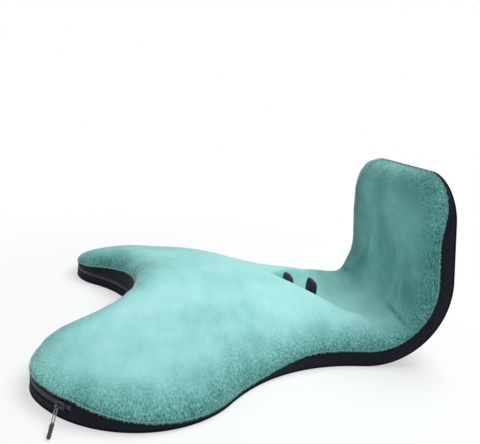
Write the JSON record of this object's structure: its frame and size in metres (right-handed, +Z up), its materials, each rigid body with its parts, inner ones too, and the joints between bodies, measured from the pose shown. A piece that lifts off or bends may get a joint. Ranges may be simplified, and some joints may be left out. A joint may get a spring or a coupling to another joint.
{
  "type": "tablet cushion stand",
  "caption": "Soft lap stand with two lobes round a belly notch, a hollow with stops and a bent-up back that props a tablet.",
  "frame": {"origin": "on the ground under the middle of the stand's length and width", "axes": "+X from the lobes to the back, +Y to the far lobe, +Z up"},
  "size_m": [0.4371, 0.4564, 0.2213],
  "materials": {
    "foam": "open-cell moulded foam",
    "plush": "short-pile plush",
    "navy_cloth": "smooth knitted cloth",
    "zip_tape": "woven tape",
    "zip_coil": "nylon coil",
    "zip_metal": "grey lacquered metal",
    "pull_grip": "matt rubber",
    "stop_cloth": "stretch cloth over foam"
  },
  "bodies": {
    "cushion": {"foam_core": "foam", "top_cover": "plush", "bottom_cover": "navy_cloth", "rear_gusset": "navy_cloth", "front_gusset_upper": "navy_cloth", "front_gusset_lower": "navy_cloth", "zip_tape_upper": "zip_tape", "zip_tape_lower": "zip_tape", "zip_coil_upper": "zip_coil", "zip_coil_lower": "zip_coil", "zip_end_near": "zip_metal", "zip_end_far": "zip_metal", "stop_front": "stop_cloth", "stop_rear": "stop_cloth"},
    "slider": {"zip_slider": "zip_metal"},
    "pull": {"zip_pull_loop": "zip_metal", "zip_pull_grip": "pull_grip"}
  },
  "joints": [
    {"name": "slider_travel", "type": "hinge", "parent": "cushion", "child": "slider", "pos_m": [-0.12059, -0.1155, 0.0132], "axis": [0, 0, 1], "range_deg": [-14, 0]},
    {"name": "pull_swing", "type": "hinge", "parent": "slider", "child": "pull", "pos_m": [-0.18587, -0.20761, 0.0132], "axis": [-0.8159, 0.5782, 0], "range_deg": [-55, 115]}
  ]
}
